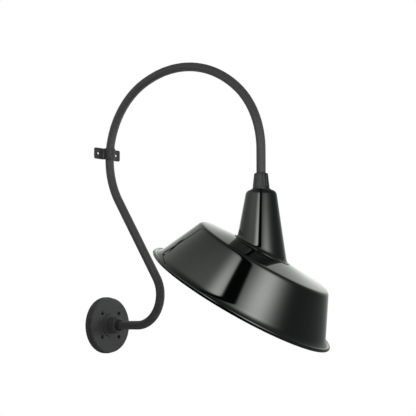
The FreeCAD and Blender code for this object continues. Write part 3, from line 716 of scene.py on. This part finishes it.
# The bead turns from where the outer line meets it, over its outside, to where the inner line does.
bead_turn = np.radians(np.linspace(142.3, -200.9, 49))[:, None]
bead = bead_middle + bead_r * np.hstack([np.cos(bead_turn), np.sin(bead_turn)])
bowl_grid = np.vstack([top_rows(opening_r(outer_top), bowl_outer[0, 0], outer_top, top_row_count),
                       turned(bowl_outer, shade_columns), turned(bead, shade_columns),
                       turned(bowl_inner[::-1], shade_columns),
                       top_rows(opening_r(inner_top), bowl_inner[0, 0], inner_top, top_row_count)[::-1]])
black_rows = top_row_count + len(bowl_outer) + len(bead)
bowl_marks = np.repeat(np.arange(len(bowl_grid)) >= black_rows - 1, shade_columns)
bowl_marks[-shade_columns:] = False
white_enamel = coated("white reflector enamel", (0.8, 0.8, 0.78), 0.28, 0.04, 0.05, 60, 0.00001)
bowl_sheets = [sheet(to_rest(bowl_grid @ tilt.T + bowl_base), rows_close=True)]
bowl = piece("bowl_dressed", bowl_sheets, [gloss, white_enamel], bowl_marks)
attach(bowl, "shade")
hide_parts("shade_bowl")

# ---------------------------------------------------------------------------------------------
# Lampholder: glazed porcelain with a plated brass shell, centre contact and two terminal screws,
# held between the bracket's legs inside the neck.
glaze, _ = wired("white glaze", (0.86, 0.85, 0.81), 0.12)
brass, _ = wired("plated brass", (0.72, 0.6, 0.35), 0.28, 1.0)
dress("socket_body", glaze)
for node in ("screw_shell", "centre_contact", "terminal_screws"):
    dress(node, brass)

# ---------------------------------------------------------------------------------------------
# Wiring: two sleeved leads run from the lampholder through the nipple and the whole arm to behind
# the flange, where each has a twist-on connector; the ground lead is screwed inside the flange.
for node, name, colour, roughness, metallic in (
        ("wire_bushing", "bush nylon", (0.75, 0.74, 0.7), 0.5, 0.0),
        ("live_lead", "black sleeve", (0.03, 0.03, 0.03), 0.5, 0.0),
        ("neutral_lead", "white sleeve", (0.82, 0.82, 0.8), 0.5, 0.0),
        ("ground_lead", "green sleeve", (0.05, 0.35, 0.12), 0.45, 0.0),
        ("wire_connectors", "orange plastic", (0.75, 0.2, 0.08), 0.45, 0.0),
        ("ground_lug", "tin plate", (0.7, 0.69, 0.66), 0.3, 1.0),
        ("ground_screw", "green passivated steel", (0.05, 0.3, 0.1), 0.35, 0.7)):
    dress(node, wired(name, colour, roughness, metallic)[0])

# ---------------------------------------------------------------------------------------------
# Studio: a pale floor far below that only throws light back, two soft lamps for the matt pieces and
# a light tent whose panels only the gloss sees. The world is white behind the object.
tent_middle = np.array([0.0, -0.45, 0.15])
tent_r = 0.7
tent_base = 0.2
# Soft panels of the tent: azimuth from -Y and elevation, the half widths of both, all in degrees; strength
tent_panels = [(-24, 5, 14, 14, 8.0), (-20, 26, 24, 12, 1.0), (-64, 22, 8, 13, 6.2), (-84, 28, 28, 18, 1.1),
               (-125, 38, 34, 20, 0.6), (180, 38, 26, 18, 0.4), (128, 8, 36, 17, 1.45)]
tent_slit = (-58.0, -43.0)
tent_slit_edge = 1.0
tent_sill = 12.0
tent_back = -165.0
bell_width = 1.44


def tent_light(azimuth, elevation):
    """Brightness of the tent: its base plus each panel's falling off as a bell to both sides.

    Between the slit's two edges, where the tent is open for the camera, nothing is left, and below the
    sill, from the slit round to the back, a tenth.
    """
    light = np.full(azimuth.shape, tent_base)
    for panel_az, panel_el, half_az, half_el, strength in tent_panels:
        away = (azimuth - panel_az + 180) % 360 - 180
        light += strength * np.exp(-(away / half_az) ** 2 / bell_width
                                   - ((elevation - panel_el) / half_el) ** 2 / bell_width)
    low, high = tent_slit
    open_part = (np.tanh((azimuth - low) / tent_slit_edge) - np.tanh((azimuth - high) / tent_slit_edge)) / 2
    below_sill = (1 - np.tanh((elevation - tent_sill) / tent_slit_edge)) / 2
    frame_part = below_sill * (azimuth < high) * (azimuth > tent_back)
    return light * (1 - open_part) * (1 - 0.9 * frame_part)


def light_tent():
    """Sphere round the object, its brightness kept as a number at each point."""
    azimuth = np.arange(480) * 0.75 - 180
    elevation = np.linspace(-90, 90, 121)[:, None]
    az, el = np.radians(azimuth), np.radians(elevation)
    direction = np.stack([np.cos(el) * np.sin(az), -np.cos(el) * np.cos(az), np.sin(el) + 0 * az], -1)
    points, quads = sheet(tent_middle + tent_r * direction)
    mesh = bpy.data.meshes.new("light tent")
    mesh.from_pydata(points.tolist(), [], quads.tolist())
    glow = mesh.attributes.new("glow", "FLOAT", "POINT")
    glow.data.foreach_set("value", tent_light(azimuth + 0 * elevation, elevation + 0 * azimuth).ravel())
    made = bpy.data.materials.new("tent cloth")
    made.use_nodes = True
    nodes, links = made.node_tree.nodes, made.node_tree.links
    nodes.clear()
    reader, shine, out = (nodes.new(kind) for kind in ("ShaderNodeAttribute", "ShaderNodeEmission",
                                                       "ShaderNodeOutputMaterial"))
    reader.attribute_name = "glow"
    shine.inputs["Color"].default_value = (0.95, 1.0, 0.955, 1)
    links.new(reader.outputs["Fac"], shine.inputs["Strength"])
    links.new(shine.outputs[0], out.inputs["Surface"])
    made.cycles.emission_sampling = "NONE"
    mesh.materials.append(made)
    mesh.shade_smooth()
    tent = bpy.data.objects.new("light tent", mesh)
    bpy.context.collection.objects.link(tent)
    for ray in ("camera", "diffuse", "shadow", "transmission", "volume_scatter"):
        setattr(tent, "visible_" + ray, False)
    return tent


def soft_lamp(name, spot, aim, size, power):
    """Square area lamp at spot, its light aimed at aim, not seen in the gloss."""
    lamp = bpy.data.lights.new(name, "AREA")
    lamp.size = size
    lamp.energy = power
    made = bpy.data.objects.new(name, lamp)
    bpy.context.collection.objects.link(made)
    made.matrix_world = facing(np.array(spot), np.array(spot) - np.array(aim))
    made.visible_glossy = False
    made.visible_camera = False
    return made


def facing(spot, back):
    """Matrix that puts an object at spot with its Z axis along back and its X axis level."""
    z = back / np.linalg.norm(back)
    x = np.cross([0, 0, 1], z)
    x /= np.linalg.norm(x)
    y = np.cross(z, x)
    turned_to = np.eye(4)
    turned_to[:3, 0], turned_to[:3, 1], turned_to[:3, 2], turned_to[:3, 3] = x, y, z, spot
    return Matrix(turned_to.tolist())


tent = light_tent()
lamps = [soft_lamp("key lamp", (-1.0, -2.6, 1.6), (0, -0.25, 0.25), 1.4, 38),
         soft_lamp("side lamp", (2.0, -1.5, 0.35), (0, -0.15, 0.1), 0.7, 58)]

floor_r = 2.6
floor_z = -0.62
floor_sides = 96
floor_turn = 2 * math.pi * np.arange(floor_sides) / floor_sides
floor_rim = np.stack([floor_r * np.cos(floor_turn), floor_r * np.sin(floor_turn) - 0.3, 0 * floor_turn + floor_z], -1)
floor_mesh = bpy.data.meshes.new("floor")
floor_mesh.from_pydata(floor_rim.tolist(), [], [list(range(floor_sides))])
floor = bpy.data.objects.new("floor", floor_mesh)
bpy.context.collection.objects.link(floor)
paper, _ = wired("floor paper", (0.82, 0.82, 0.82), 0.9)
floor_mesh.materials.append(paper)
floor.visible_camera = False

world = bpy.data.worlds.new("white studio")
bpy.context.scene.world = world
world.use_nodes = True
nodes, links = world.node_tree.nodes, world.node_tree.links
nodes.clear()
path, seen, level = nodes.new("ShaderNodeLightPath"), nodes.new("ShaderNodeMath"), nodes.new("ShaderNodeMapRange")
both, sky, out = nodes.new("ShaderNodeMath"), nodes.new("ShaderNodeBackground"), nodes.new("ShaderNodeOutputWorld")
seen.operation = "MAXIMUM"
both.operation = "MAXIMUM"
links.new(path.outputs["Is Camera Ray"], seen.inputs[0])
links.new(path.outputs["Is Glossy Ray"], seen.inputs[1])
links.new(seen.outputs[0], both.inputs[0])
links.new(path.outputs["Is Transmission Ray"], both.inputs[1])
links.new(both.outputs[0], level.inputs["Value"])
level.inputs["To Min"].default_value = 0.55
level.inputs["To Max"].default_value = 1.0
links.new(level.outputs["Result"], sky.inputs["Strength"])
links.new(sky.outputs[0], out.inputs["Surface"])
sky.inputs["Color"].default_value = (1, 1, 1, 1)

# ---------------------------------------------------------------------------------------------
# Camera: where the photograph was taken from, a little below the shade and to its left.
camera = bpy.data.objects.new("camera", bpy.data.cameras.new("camera"))
bpy.context.collection.objects.link(camera)
camera.data.lens = 110.08
camera.data.sensor_width = 36
camera.data.clip_start = 0.05
camera.matrix_world = facing(np.array([-2.28146465, -2.24921312, 0.00079570]),
                             np.array([-0.76283083, -0.64009107, -0.09150162]))
bpy.context.scene.camera = camera
bpy.context.scene.view_settings.view_transform = "Standard"
